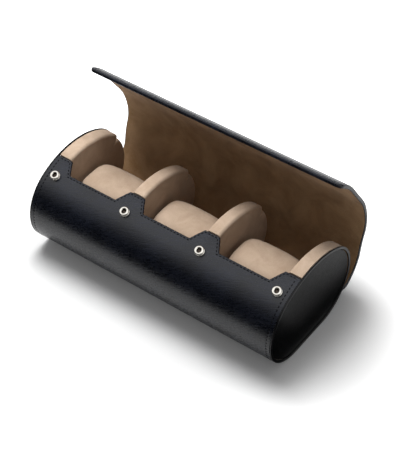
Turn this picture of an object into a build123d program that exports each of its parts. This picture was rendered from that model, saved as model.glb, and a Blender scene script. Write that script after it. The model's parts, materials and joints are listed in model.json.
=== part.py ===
from build123d import *
import math
import os

os.makedirs("parts", exist_ok=True)

# A watch travel case: a stiffened leather roll with an oval section, two end
# discs, four suede dividers, three lift-out watch cushions and a lid that is one
# with the back of the wrap. X runs along the roll, the front with its snap studs
# is towards -Y and the flat base stands on Z = 0. All sizes are millimetres.

# Section of the closed case, over the leather
CASE_LENGTH = 234.0
CASE_DEPTH = 109.6
CASE_HEIGHT = 79.2

# Flat base as a share of the depth, and upper side radius of the height over the waist
BASE_SHARE = 0.343
SIDE_SHARE = 0.9028

# Layers of the case wall
LEATHER = 1.3
BOARD = 1.6
LINING = 0.7
TURNED_EDGE = 1.2
LINING_SETBACK = 2.6

# Layers of the lid and its running gap over the closed case
LID_GAP = 0.5
LID_LINING = 0.8
LID_BOARD = 1.3
LID_EDGE = 2.0
LID_CORNER = 8.0
FOLD_GAP = 0.3

# Places along the section, measured over the leather from the crown line
TAB_TOP = 15.9
WINDOW_EDGE = 27.7
STUD_LINE = 33.5
FLAP_FOLD = 1.6
FREE_EDGE = 41.0
BEND_FOLD = 61.9
DIVIDER_STEP = 47.0
HINGE_HEIGHT = 11.0

# How far each fold of the lid is turned open from the closed case, in degrees
HINGE_ANGLE = 24.5
BEND_ANGLE = 24.3
FLAP_ANGLE = 15.0

# Ends of the roll
RIM_WIDTH = 2.2
RIM_DEPTH = 3.3
RIM_ROUND = 0.9
END_BOARD = 1.0
PANEL = 0.9
PANEL_GAP = 0.4
PANEL_ROUND = 0.6

# Dividers, front tabs and snap studs along the length, the dividers' place as a
# share of it
DIVIDER_SHARE = 0.153
DIVIDER = 12.4
END_PAD = 11.4
PAD_GAP = 0.2
PAD_COVER = 1.5
PAD_ROUND = 2.6
DIVIDER_STEP_DEPTH = 2.0
NOTCH_SPAN = 6.0
NOTCH_DEPTH = 8.0
TAB_TOP_WIDTH = 14.0
TAB_SLOPE = 6.8
END_TAB = 22.0
END_STUD_INSET = 11.2

# Snap studs, their rivets and the sockets in the lid
STUD_RADIUS = 3.9
STUD_HEIGHT = 3.0
STUD_FLANGE = 0.6
STUD_NECK_RADIUS = 2.7
STUD_HEAD = 1.6
STUD_BORE_RADIUS = 1.7
STUD_BORE_DEPTH = 2.4
STUD_ROUND = 0.6
RIVET_RADIUS = 4.5
RIVET_HEAD = 0.8
POST_RADIUS = 1.4
RIVET_CLEARANCE = 0.1
SNAP_CLEARANCE = 0.6
SOCKET_WALL = 1.0
SOCKET_HEADROOM = 0.2
SOCKET_PLATE = 0.3

# Watch cushions, their width and height as shares of the case's depth and height
CUSHION_SIDE_GAP = 2.6
CUSHION_WIDTH_SHARE = 0.41
CUSHION_HEIGHT_SHARE = 0.707
CUSHION_BACKSET = 1.6
CUSHION_CORNER = 17.0
CUSHION_COVER = 1.6
CUSHION_GAP = 0.4
CUSHION_END_SCALE = 0.84
CUSHION_SHOULDER_SCALE = 0.94
CUSHION_FLANK_SCALE = 0.99
CUSHION_SHOULDER = 3.2

WALL = LEATHER + BOARD + LINING
HALF_LENGTH = CASE_LENGTH / 2
WRAP_HALF = HALF_LENGTH - RIM_WIDTH
DIVIDER_CENTRE = DIVIDER_SHARE * CASE_LENGTH
CUSHION_LENGTH = 2 * DIVIDER_CENTRE - DIVIDER - 2 * CUSHION_SIDE_GAP
CUSHION_WIDTH = CUSHION_WIDTH_SHARE * CASE_DEPTH
CUSHION_HEIGHT = CUSHION_HEIGHT_SHARE * CASE_HEIGHT
LID_INSIDE = LID_GAP
LID_LINED = LID_INSIDE + LID_LINING
LID_BACKED = LID_LINED + LID_BOARD
LID_OUTSIDE = LID_BACKED + LEATHER

# The section is three kinds of arc: lower corners, upper sides and the crown
BASE_FLAT = BASE_SHARE * CASE_DEPTH
LOWER_RADIUS = (CASE_DEPTH - BASE_FLAT) / 2
WAIST = LOWER_RADIUS
RISE = CASE_HEIGHT - WAIST
SIDE_RADIUS = SIDE_SHARE * RISE
SIDE_CENTRE = CASE_DEPTH / 2 - SIDE_RADIUS
CROWN_RADIUS = (SIDE_CENTRE**2 + RISE**2 - SIDE_RADIUS**2) / (2 * (RISE - SIDE_RADIUS))
CROWN_CENTRE = CASE_HEIGHT - CROWN_RADIUS
SHOULDER = math.degrees(math.atan2(WAIST - CROWN_CENTRE, SIDE_CENTRE))
ARCS = [
    ((BASE_FLAT / 2, WAIST), LOWER_RADIUS, -90, 0),
    ((SIDE_CENTRE, WAIST), SIDE_RADIUS, 0, SHOULDER),
    ((0, CROWN_CENTRE), CROWN_RADIUS, SHOULDER, 180 - SHOULDER),
    ((-SIDE_CENTRE, WAIST), SIDE_RADIUS, 180 - SHOULDER, 180),
    ((-BASE_FLAT / 2, WAIST), LOWER_RADIUS, 180, 270),
    ((BASE_FLAT / 2, WAIST), LOWER_RADIUS, 270, 360),
]


def facing(distance):
    """Direction of the outline's normal, in degrees from +Y, at a distance from the
    crown line over the leather: positive towards the front, negative to the back."""
    half_crown = CROWN_RADIUS * math.radians(90 - SHOULDER)
    side = SIDE_RADIUS * math.radians(SHOULDER)
    run = abs(distance)
    if run <= half_crown:
        turn = math.degrees(run / CROWN_RADIUS)
    elif run <= half_crown + side:
        turn = 90 - SHOULDER + math.degrees((run - half_crown) / SIDE_RADIUS)
    else:
        turn = 90 + math.degrees((run - half_crown - side) / LOWER_RADIUS)
    return 90 + math.copysign(turn, distance)


HINGE_FACING = -math.degrees(math.asin((WAIST - HINGE_HEIGHT) / LOWER_RADIUS))


def station(direction, offset):
    """Point (y, z) on the outline moved outwards by offset, where its normal faces a
    direction in degrees."""
    for centre, radius, low, high in ARCS:
        if low <= direction <= high:
            angle = math.radians(direction)
            reach = radius + offset
            return centre[0] + reach * math.cos(angle), centre[1] + reach * math.sin(angle)
    raise ValueError("no such direction on the outline")


def step_along(direction, distance):
    """Direction of the normal a short distance further round the outline."""
    for _, radius, low, high in ARCS:
        if low <= direction <= high:
            return direction + math.degrees(distance / radius)
    raise ValueError("no such direction on the outline")


def outline_edges(offset, start, end):
    """Edges of the outline moved outwards by offset, between two directions."""
    edges = []
    last = None
    for centre, radius, low, high in ARCS:
        first, final = max(low, start), min(high, end)
        if final - first > 1e-6:
            edge = CenterArc(centre, radius + offset, first, final - first)
            if last is not None and (edge @ 0 - last).length > 1e-6:
                edges.append(Line(last, edge @ 0))
            edges.append(edge)
            last = edge @ 1
    return edges


def full_outline(offset):
    """Face of the whole section, moved outwards by offset."""
    edges = outline_edges(offset, -90, 270)
    edges.append(Line(edges[-1] @ 1, edges[0] @ 0))
    return make_face(edges)


def strip(inner, outer, start, end):
    """Face of one layer of the wall, between two offsets and two directions."""
    outside = outline_edges(outer, start, end)
    inside = outline_edges(inner, start, end)
    ends = [
        Line(outside[0] @ 0, inside[0] @ 0),
        Line(outside[-1] @ 1, inside[-1] @ 1),
    ]
    return make_face(outside + inside + ends)


def along_x(face, low, high):
    """Solid of a section face, from one X to another."""
    return extrude(Plane.YZ.offset(low) * face, amount=high - low, dir=(1, 0, 0))


def wall_plane(x, direction, offset=0.0):
    """Plane lying on the outline at x: its X runs along the roll, its Y towards the
    crown and its Z outwards."""
    y, z = station(direction, offset)
    angle = math.radians(direction)
    normal = (0, math.cos(angle), math.sin(angle))
    return Plane(origin=(x, y, z), x_dir=(1, 0, 0), z_dir=normal)


def stud_places():
    """X of the four snap studs."""
    end = HALF_LENGTH - END_STUD_INSET
    return [-end, -DIVIDER_CENTRE, DIVIDER_CENTRE, end]


def window_spans():
    """X of both lower corners of the three windows between the front tabs."""
    tab_half = TAB_TOP_WIDTH / 2 + TAB_SLOPE
    near, far = DIVIDER_CENTRE - tab_half, DIVIDER_CENTRE + tab_half
    edge = HALF_LENGTH - END_TAB
    return [(-edge, -far), (-near, near), (far, edge)]


def window_cutter(low, high, grow):
    """Prism that cuts one window out of the front wall, grown by a turned edge."""
    height = WINDOW_EDGE - TAB_TOP
    lean = TAB_SLOPE / height
    reach = 2 * height
    corner = grow * (math.hypot(1, lean) - lean)
    corners = [
        (low - corner, -grow),
        (high + corner, -grow),
        (high + corner + lean * reach, reach - grow),
        (low - corner - lean * reach, reach - grow),
    ]
    face = make_face(Polyline(*corners, close=True))
    plane = wall_plane(0, facing(WINDOW_EDGE))
    thickness = 4 * WALL
    return extrude(plane.offset(-thickness / 2) * face, amount=thickness)


def cut_windows(body, grow):
    """Body with all three windows cut out of it."""
    for low, high in window_spans():
        body -= window_cutter(low, high, grow)
    return body


def at_studs(make):
    """One copy of a small part at each snap stud, on the wall."""
    plane_facing = facing(STUD_LINE)
    return [wall_plane(x, plane_facing) * make() for x in stud_places()]


def post_hole():
    """Cutter for a rivet's post through leather and board."""
    return Pos(0, 0, -WALL) * Cylinder(
        POST_RADIUS + RIVET_CLEARANCE, 2 * WALL, align=(Align.CENTER, Align.CENTER, Align.MIN)
    )


def rivet_seat():
    """Cutter for a rivet's head, sunk into the inside of the board."""
    height = RIVET_HEAD + RIVET_CLEARANCE
    return Pos(0, 0, -LEATHER - BOARD - height) * Cylinder(
        RIVET_RADIUS + RIVET_CLEARANCE, 2 * height, align=(Align.CENTER, Align.CENTER, Align.MIN)
    )


def wall_stations(setback):
    """Directions of both ends of the wall, drawn in by a setback: the tab tops at the
    front and, past the base, the hinge line at the back."""
    front = facing(TAB_TOP + setback)
    back = 360 + step_along(HINGE_FACING, -setback - FOLD_GAP)
    return front, back


def case_board():
    """Stiff board inside the wrap: front, base and low back in one curved piece."""
    front, back = wall_stations(TURNED_EDGE)
    body = along_x(strip(-LEATHER - BOARD, -LEATHER, front, back), -WRAP_HALF, WRAP_HALF)
    return cut_windows(body, TURNED_EDGE)


def case_wall():
    """Leather and board together, before they are told apart."""
    front, back = wall_stations(0)
    body = along_x(strip(-LEATHER - BOARD, 0, front, back), -WRAP_HALF, WRAP_HALF)
    return cut_windows(body, 0)


def case_lining():
    """Suede lining glued inside the board, ending a little below its edges."""
    front, back = wall_stations(LINING_SETBACK)
    body = along_x(strip(-WALL, -LEATHER - BOARD, front, back), -WRAP_HALF, WRAP_HALF)
    return cut_windows(body, LINING_SETBACK)


def on_outline(point, offset):
    """True where a point lies on the outline moved outwards by offset."""
    y, z = point.Y, point.Z
    for centre, radius, low, high in ARCS:
        away = math.hypot(y - centre[0], z - centre[1])
        turn = (math.degrees(math.atan2(z - centre[1], y - centre[0])) + 90) % 360 - 90
        if abs(away - radius - offset) < 0.01 and low <= turn <= high:
            return True
    return abs(z + offset) < 0.01 and abs(y) < BASE_FLAT / 2


def outline_corners(body, x):
    """Edges of a body that follow the outline in the plane at x."""
    return [
        edge
        for edge in body.edges()
        if abs((edge @ 0.5).X - x) < 0.01 and on_outline(edge @ 0.5, 0)
    ]


def end_rim(side):
    """Rolled leather rim round one end; side is -1 at the left and 1 at the right."""
    ring = full_outline(0) - full_outline(-RIM_DEPTH)
    body = along_x(ring, WRAP_HALF, HALF_LENGTH)
    rounded = outline_corners(body, WRAP_HALF) + outline_corners(body, HALF_LENGTH)
    body = fillet(rounded, RIM_ROUND)
    return body if side > 0 else mirror(body, about=Plane.YZ)


def end_board(side):
    """Stiff disc inside one rim."""
    face = full_outline(-RIM_DEPTH - PAD_GAP / 2)
    body = along_x(face, WRAP_HALF, WRAP_HALF + END_BOARD)
    return body if side > 0 else mirror(body, about=Plane.YZ)


def end_panel(side):
    """Leather-covered panel on one end disc, set in a shallow groove inside the rim."""
    face = full_outline(-RIM_DEPTH - PANEL_GAP)
    low = WRAP_HALF + END_BOARD
    body = along_x(face, low, low + PANEL)
    body = fillet(body.faces().sort_by(Axis.X)[-1].edges(), PANEL_ROUND)
    return body if side > 0 else mirror(body, about=Plane.YZ)


def notch_cutter(low, high, grow):
    """Prism that cuts the V-shaped notch behind a pad's crown, grown by a cover."""
    reach = 2 * DIVIDER_STEP_DEPTH
    steep = step_along(facing(-DIVIDER_STEP), grow)
    far = step_along(facing(-DIVIDER_STEP - NOTCH_SPAN), -grow)
    corners = [
        station(steep, reach),
        station(steep, -NOTCH_DEPTH - grow),
        station(far, -DIVIDER_STEP_DEPTH - grow),
        station(far, reach),
    ]
    return along_x(make_face(Polyline(*corners, close=True)), low, high)


def pad_body(low, high, shrink, rounded):
    """Body of a divider or end pad between two X, drawn in by shrink. Inside the wall
    it follows the lining, and between the tab tops and a notch at the back it rises
    flush with the leather, where its edges at the X values in rounded are rounded."""
    inside = -WALL - PAD_GAP - shrink
    root = inside - 1
    tab_top = facing(TAB_TOP - 2 * PAD_GAP - shrink)
    back_step = step_along(facing(-DIVIDER_STEP), shrink)
    hinge = step_along(HINGE_FACING, 2 * PAD_GAP + shrink)
    crown = along_x(strip(root, -shrink, back_step, tab_top), low, high)
    for x in rounded:
        crown = fillet(outline_corners(crown, x), PAD_ROUND)
    rear = along_x(strip(root, -DIVIDER_STEP_DEPTH - shrink, hinge, back_step), low, high)
    body = along_x(full_outline(inside), low, high) + rear + crown
    return body - notch_cutter(low, high, shrink)


def padded(name, low, high, rounded):
    """Suede cover and foam core of one divider, as named pieces."""
    core = pad_body(low + PAD_COVER, high - PAD_COVER, PAD_COVER, [])
    cover = pad_body(low, high, 0, rounded) - core
    return {f"{name}_cover": cover, f"{name}_core": core}


def dividers():
    """Both end pads and both middle dividers."""
    bay_end = WRAP_HALF - END_PAD
    low, high = DIVIDER_CENTRE - DIVIDER / 2, DIVIDER_CENTRE + DIVIDER / 2
    pieces = {}
    pieces.update(padded("end_pad_left", -WRAP_HALF, -bay_end, [-bay_end]))
    pieces.update(padded("end_pad_right", bay_end, WRAP_HALF, [bay_end]))
    pieces.update(padded("divider_left", -high, -low, [-high, -low]))
    pieces.update(padded("divider_right", low, high, [low, high]))
    return pieces


def snap_stud():
    """Hollow ring stud standing on the leather, its axis along local Z."""
    base = (Align.CENTER, Align.CENTER, Align.MIN)
    flange = Cylinder(STUD_RADIUS, STUD_FLANGE, align=base)
    flange = fillet(flange.edges().group_by(Axis.Z)[-1], STUD_FLANGE / 2)
    neck = Cylinder(STUD_NECK_RADIUS, STUD_HEIGHT - STUD_HEAD / 2, align=base)
    head = Pos(0, 0, STUD_HEIGHT - STUD_HEAD) * Cylinder(STUD_RADIUS, STUD_HEAD, align=base)
    head = fillet(head.edges(), STUD_ROUND)
    bore = Pos(0, 0, STUD_HEIGHT - STUD_BORE_DEPTH) * Cylinder(
        STUD_BORE_RADIUS, STUD_HEIGHT, align=base
    )
    return flange + neck + head - bore


def stud_rivet():
    """Rivet that holds a stud from inside: a head in the board and a post through."""
    base = (Align.CENTER, Align.CENTER, Align.MIN)
    head = Pos(0, 0, -LEATHER - BOARD) * Cylinder(RIVET_RADIUS, RIVET_HEAD, align=base)
    post = Pos(0, 0, -LEATHER - BOARD) * Cylinder(POST_RADIUS, LEATHER + BOARD, align=base)
    return head + post


def socket_radius():
    """Outer radius of a snap socket: the stud's head, its clearance and the wall."""
    return STUD_RADIUS + SNAP_CLEARANCE + SOCKET_WALL


def snap_socket():
    """Socket cup in the lid that presses over a stud."""
    base = (Align.CENTER, Align.CENTER, Align.MIN)
    depth = STUD_HEIGHT + SOCKET_HEADROOM - LID_INSIDE
    cup = Pos(0, 0, LID_INSIDE) * Cylinder(socket_radius(), depth + SOCKET_PLATE, align=base)
    hollow = Pos(0, 0, LID_INSIDE) * Cylinder(STUD_RADIUS + SNAP_CLEARANCE, depth, align=base)
    return cup - hollow


def socket_seat():
    """Cutter for a socket in the lid's lining, board and leather."""
    base = (Align.CENTER, Align.CENTER, Align.MIN)
    top = STUD_HEIGHT + SOCKET_HEADROOM + SOCKET_PLATE
    return Pos(0, 0, -WALL) * Cylinder(socket_radius(), WALL + top, align=base)


def hinge_pivot():
    """Point (y, z) that the lid turns about, on the face of the wrap."""
    return station(HINGE_FACING, LID_INSIDE / 2)


def fold_pivot(distance):
    """Point (y, z) of a fold of the closed lid, on its outer leather."""
    return station(facing(distance), LID_OUTSIDE)


def turned(shape, pivot, angle):
    """Shape turned about an X axis through a point (y, z)."""
    axis = Axis((0, pivot[0], pivot[1]), (1, 0, 0))
    return shape.rotate(axis, angle)


def turned_point(point, pivot, angle):
    """Point (y, z) turned about another."""
    y, z = point[0] - pivot[0], point[1] - pivot[1]
    cosine, sine = math.cos(math.radians(angle)), math.sin(math.radians(angle))
    return pivot[0] + y * cosine - z * sine, pivot[1] + y * sine + z * cosine


def opened(shape, folds):
    """Closed lid piece carried to where it rests with the lid open: it turns about
    each fold between it and the case, the furthest first."""
    turns = [
        (hinge_pivot(), -HINGE_ANGLE),
        (fold_pivot(-BEND_FOLD), -BEND_ANGLE),
        (fold_pivot(FLAP_FOLD), -FLAP_ANGLE),
    ]
    for pivot, angle in reversed(turns[:folds]):
        shape = turned(shape, pivot, angle)
    return shape


def free_corners(body, half, direction):
    """Short edges through the lid's thickness at both ends of its free edge."""
    y, z = station(direction, 0)
    normal = math.radians(direction)
    found = []
    for edge in body.edges():
        middle = edge @ 0.5
        aside = (middle.Y - y) * math.sin(normal) - (middle.Z - z) * math.cos(normal)
        if abs(abs(middle.X) - half) < 0.01 and abs(aside) < 0.01:
            found.append(edge)
    return found


def lid_layer(inner, outer, start, end, half, corner):
    """One layer of a closed panel, with the corners at its end rounded if they are free."""
    body = along_x(strip(inner, outer, start, end), -half, half)
    return fillet(free_corners(body, half, end), corner) if corner else body


def lid_section(start, end, lower_edge, upper_edge):
    """Leather, board and lining of one closed panel of the lid. The leather is turned
    over both ends, and over the lower or upper edge where that edge is free."""
    core_start = step_along(start, LID_EDGE if lower_edge else 0)
    core_end = step_along(end, -LID_EDGE if upper_edge else 0)
    core_half = HALF_LENGTH - LID_EDGE
    corner = LID_CORNER if upper_edge else 0
    core_corner = LID_CORNER - LID_EDGE if upper_edge else 0
    core_ends = (core_start, core_end, core_half, core_corner)
    board = lid_layer(LID_LINED, LID_BACKED, *core_ends)
    lining = lid_layer(LID_INSIDE, LID_LINED, *core_ends)
    core = lid_layer(LID_INSIDE, LID_BACKED, *core_ends)
    whole = lid_layer(LID_INSIDE, LID_OUTSIDE, start, end, HALF_LENGTH, corner)
    return whole - core, board, lining


def lid_panels():
    """The three panels of the lid between its folds, closed, with their names."""
    hinge = step_along(HINGE_FACING, FOLD_GAP)
    bend = facing(-BEND_FOLD)
    fold = facing(FLAP_FOLD)
    free = facing(FREE_EDGE)
    gap = FOLD_GAP / 2
    return [
        ("rear", 1, lid_section(hinge, step_along(bend, -gap), True, False)),
        ("middle", 2, lid_section(step_along(bend, gap), step_along(fold, -gap), False, False)),
        ("front", 3, lid_section(step_along(fold, gap), free, False, True)),
    ]


def lid():
    """All pieces of the open lid."""
    pieces = {}
    for name, folds, (leather, board, lining) in lid_panels():
        layers = {"leather": leather, "board": board, "lining": lining}
        for layer, shape in layers.items():
            if name == "front":
                for seat in at_studs(socket_seat):
                    shape -= seat
            pieces[f"lid_{layer}_{name}"] = opened(shape, folds)
    sockets = [opened(socket, 3) for socket in at_studs(snap_socket)]
    pieces["snap_sockets"] = Compound(children=sockets)
    return pieces


def cushion_face(x, scale, shrink):
    """Rounded section of a cushion across the roll at x, on its own centre."""
    width = CUSHION_WIDTH * scale - 2 * shrink
    height = CUSHION_HEIGHT * scale - 2 * shrink
    corner = CUSHION_CORNER * scale - shrink
    return Plane.YZ.offset(x) * RectangleRounded(width, height, corner)


def cushion_form(shrink):
    """Crowned cushion: fullest in the middle and drawn in towards both ends."""
    half = CUSHION_LENGTH / 2 - shrink
    shoulder = half - CUSHION_SHOULDER
    profile = [
        (half, CUSHION_END_SCALE),
        (shoulder, CUSHION_SHOULDER_SCALE),
        (half / 2, CUSHION_FLANK_SCALE),
    ]
    places = [(-x, scale) for x, scale in profile] + [(0, 1)] + profile[::-1]
    return loft([cushion_face(x, scale, shrink) for x, scale in places])


def cushion_centres():
    """Middle of each watch bay, with its name."""
    near = DIVIDER_CENTRE + DIVIDER / 2
    far = WRAP_HALF - END_PAD
    outer = (near + far) / 2
    return {"left": -outer, "middle": 0, "right": outer}


def cushions():
    """Cover and core of the three lift-out watch cushions."""
    height = WALL + CUSHION_GAP + CUSHION_HEIGHT / 2
    core = cushion_form(CUSHION_COVER)
    cover = cushion_form(0) - core
    pieces = {}
    for name, x in cushion_centres().items():
        place = Pos(x, CUSHION_BACKSET, height)
        pieces[f"cushion_cover_{name}"] = place * cover
        pieces[f"cushion_core_{name}"] = place * core
    return pieces


def case_shell():
    """Leather, board and lining of the case wall, with the studs and their rivets."""
    board = case_board()
    leather = case_wall() - board
    for hole, seat in zip(at_studs(post_hole), at_studs(rivet_seat)):
        leather -= hole
        board -= hole + seat
    return {
        "case_leather": leather,
        "case_board": board,
        "case_lining": case_lining(),
        "snap_studs": Compound(children=at_studs(snap_stud)),
        "stud_rivets": Compound(children=at_studs(stud_rivet)),
    }


def case_ends():
    """Rim, disc and panel at both ends."""
    pieces = {}
    for name, side in (("left", -1), ("right", 1)):
        pieces[f"end_rim_{name}"] = end_rim(side)
        pieces[f"end_board_{name}"] = end_board(side)
        pieces[f"end_panel_{name}"] = end_panel(side)
    return pieces


def report_places():
    """Print the places that the joints need, with the lid open."""
    hinge = hinge_pivot()
    bend = fold_pivot(-BEND_FOLD)
    fold = turned_point(fold_pivot(FLAP_FOLD), bend, -BEND_ANGLE)
    places = {
        "hinge": hinge,
        "bend": turned_point(bend, hinge, -HINGE_ANGLE),
        "flap": turned_point(fold, hinge, -HINGE_ANGLE),
    }
    for name, (y, z) in places.items():
        print(f"{name} fold at y {y:.3f}, z {z:.3f}")


def main():
    pieces = {}
    pieces.update(case_shell())
    pieces.update(case_ends())
    pieces.update(dividers())
    pieces.update(cushions())
    pieces.update(lid())
    for name, shape in pieces.items():
        export_step(shape, f"parts/{name}.step")
    report_places()


main()
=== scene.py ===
"""Looks of a watch travel case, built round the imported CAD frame.

The case is an oval roll of stiffened leather. Every surface that follows its wall is
written in three wall coordinates, in millimetres: x along the roll, s over the leather
from the crown line (positive towards the front) and an offset out from the leather.
Lengths are millimetres until a mesh is made, which is in metres.
"""

import json
import logging
import math
from dataclasses import dataclass
from enum import Enum
from functools import cached_property
from typing import Callable, Sequence

import bmesh
import bpy
import numpy as np
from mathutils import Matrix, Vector

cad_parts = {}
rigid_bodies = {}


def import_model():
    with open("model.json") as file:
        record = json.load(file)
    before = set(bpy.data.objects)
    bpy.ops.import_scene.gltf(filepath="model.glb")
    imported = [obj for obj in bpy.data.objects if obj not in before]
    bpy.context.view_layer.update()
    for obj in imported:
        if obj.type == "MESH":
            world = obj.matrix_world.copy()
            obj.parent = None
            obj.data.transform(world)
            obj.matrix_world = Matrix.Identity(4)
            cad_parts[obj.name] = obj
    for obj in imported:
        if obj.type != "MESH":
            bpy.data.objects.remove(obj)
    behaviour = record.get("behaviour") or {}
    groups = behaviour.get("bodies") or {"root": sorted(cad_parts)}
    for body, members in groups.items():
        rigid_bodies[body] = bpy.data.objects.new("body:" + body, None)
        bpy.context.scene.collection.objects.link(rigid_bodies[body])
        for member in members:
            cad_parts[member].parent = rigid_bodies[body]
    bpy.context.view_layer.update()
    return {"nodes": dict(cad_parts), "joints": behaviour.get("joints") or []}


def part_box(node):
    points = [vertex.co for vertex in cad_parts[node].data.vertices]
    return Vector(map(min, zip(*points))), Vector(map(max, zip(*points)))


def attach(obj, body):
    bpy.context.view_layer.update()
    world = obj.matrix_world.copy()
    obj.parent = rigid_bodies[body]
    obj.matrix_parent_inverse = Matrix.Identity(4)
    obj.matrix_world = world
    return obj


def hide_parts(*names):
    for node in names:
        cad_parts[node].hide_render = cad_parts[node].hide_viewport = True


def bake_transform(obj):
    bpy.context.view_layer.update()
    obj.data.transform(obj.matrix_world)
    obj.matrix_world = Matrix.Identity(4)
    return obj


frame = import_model()

Array = np.ndarray
Placing = Callable[[Array, Array, Array], Array]
Colour = tuple[float, float, float, float]
LOG = logging.getLogger("watch_case")
METRES = 0.001
UV_UNIT = 100.0  # millimetres to a unit of the UV map
RIGHT_ANGLE = math.pi / 2
FULL_TURN = 2 * math.pi
SHARP_ANGLE = math.radians(48.0)  # past it an edge is shaded sharp
SETTLING_ROUNDS = 40  # of the turn of a blended sheet
AXIS_GAP = 0.05  # radius of a turned body's first and last ring
STITCH_INSET = 1.9  # from the front edge to its seam
END_STITCH_INSET = 3.4  # from a rim to the seam beside it
GROOVE_DEPTH = 0.16  # of a seam, pressed into the leather
GROOVE_WIDTH = 0.45
PAST_GROOVE = 1.8  # from a seam to the plain grid beside it
CALM_EDGE = 8.0  # distance from an edge over which the waves set in
EVEN = (1.0, 1.0, 1.0)
WHITE = (1.0, 1.0, 1.0, 1.0)


# ---------------------------------------------------------------- shapes


def smooth(low: float, high: float, value: Array) -> Array:
    """Smoothstep from 0 at low to 1 at high: t squared times (3 - 2t).

    Args:
        low: Value where the step starts.
        high: Value where it ends; it may be below low.
        value: Where to work it out.

    Returns:
        The step, between 0 and 1.
    """
    t = np.clip((np.asarray(value, float) - low) / (high - low), 0.0, 1.0)
    return t * t * (3.0 - 2.0 * t)


def nose(depth: Array, radius: float) -> Array:
    """How far a rounded edge falls back: r - sqrt(r^2 - (r - d)^2) within its radius.

    Args:
        depth: Distance in from the edge.
        radius: Radius of the rounding.

    Returns:
        The fall, from the radius at the edge to 0 past the rounding.
    """
    inward = np.clip(radius - np.asarray(depth, float), 0.0, radius)
    return radius - np.sqrt(np.maximum(radius**2 - inward**2, 0.0))


def groove(depth: Array, centre: float, width: float) -> Array:
    """Bell curve exp(-((d - centre) / width)^2), which presses a stitch line in.

    Args:
        depth: Distance in from the edge.
        centre: Distance of the line from the edge.
        width: Half-width of the groove.

    Returns:
        The share of the groove's depth, between 0 and 1.
    """
    return np.exp(-(((np.asarray(depth, float) - centre) / width) ** 2))


def turned(y: Array, z: Array, pivot: tuple[float, float], angle: Array) -> tuple[Array, Array]:
    """Points turned about an X axis.

    Args:
        y: Their Y.
        z: Their Z.
        pivot: Y and Z of the axis.
        angle: Turn in radians, by the right-hand rule; one for all or one each.

    Returns:
        The new Y and Z.
    """
    away_y, away_z = y - pivot[0], z - pivot[1]
    cosine, sine = np.cos(angle), np.sin(angle)
    return pivot[0] + away_y * cosine - away_z * sine, pivot[1] + away_y * sine + away_z * cosine


@dataclass(frozen=True)
class Outline:
    """Oval section of the closed case, over the leather: a crown, two sides, two lower
    corners and a flat base, all arcs that meet in line."""

    depth: float = 109.6
    height: float = 79.2
    base_share: float = 0.343
    side_share: float = 0.9028

    @property
    def base_flat(self) -> float:
        """Width of the flat base."""
        return self.base_share * self.depth

    @property
    def side_radius(self) -> float:
        """Radius of the upper sides."""
        return self.side_share * (self.height - (self.depth - self.base_flat) / 2)

    @cached_property
    def pieces(self) -> list[tuple[float, float, float, float, float, float]]:
        """Start and end of s, centre y and z, radius (0 for the flat) and first facing."""
        waist = (self.depth - self.base_flat) / 2
        side_centre = self.depth / 2 - self.side_radius
        rise = self.height - waist
        spread = side_centre**2 + rise**2 - self.side_radius**2
        crown_radius = spread / (2 * (rise - self.side_radius))
        crown_centre = self.height - crown_radius
        shoulder = math.atan2(waist - crown_centre, side_centre)
        quarter, flat = RIGHT_ANGLE, self.base_flat
        parts = [
            (0.0, crown_centre, crown_radius, quarter, quarter - shoulder),
            (-side_centre, waist, self.side_radius, 2 * quarter - shoulder, shoulder),
            (-flat / 2, waist, waist, 2 * quarter, quarter),
            (-flat / 2, 0.0, 0.0, 3 * quarter, flat),
            (flat / 2, waist, waist, 3 * quarter, quarter),
            (side_centre, waist, self.side_radius, 4 * quarter, shoulder),
            (0.0, crown_centre, crown_radius, 4 * quarter + shoulder, quarter - shoulder),
        ]
        rows, start = [], 0.0
        for y, z, radius, facing, span in parts:
            length = span * radius if radius else span
            rows.append((start, start + length, y, z, radius, facing))
            start += length
        return rows

    @property
    def girth(self) -> float:
        """Length right round the leather."""
        return self.pieces[-1][1]

    def facing(self, s: Array) -> Array:
        """Direction of the outward normal at s, in radians from +Y towards +Z."""
        run = np.mod(np.asarray(s, float), self.girth)
        result = np.zeros_like(run)
        for start, end, _, _, radius, first in self.pieces:
            inside = (run >= start) & (run <= end)
            turn = (run - start) / radius if radius else 0.0 * run
            result = np.where(inside, first + turn, result)
        return result

    def place(self, s: Array, offset: Array) -> tuple[Array, Array]:
        """Y and Z at s, moved out by an offset: centre + (radius + offset) x facing.

        Args:
            s: Distance over the leather from the crown line.
            offset: Distance out from the leather.

        Returns:
            Y and Z.
        """
        run = np.mod(np.asarray(s, float), self.girth)
        offset = np.broadcast_to(np.asarray(offset, float), run.shape)
        y, z = np.zeros_like(run), np.zeros_like(run)
        for start, end, centre_y, centre_z, radius, first in self.pieces:
            inside = (run >= start) & (run <= end)
            if radius:
                angle = first + (run - start) / radius
                new_y = centre_y + (radius + offset) * np.cos(angle)
                new_z = centre_z + (radius + offset) * np.sin(angle)
            else:
                new_y, new_z = centre_y + run - start, centre_z - offset
            y, z = np.where(inside, new_y, y), np.where(inside, new_z, z)
        return y, z


OUTLINE = Outline()


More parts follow.
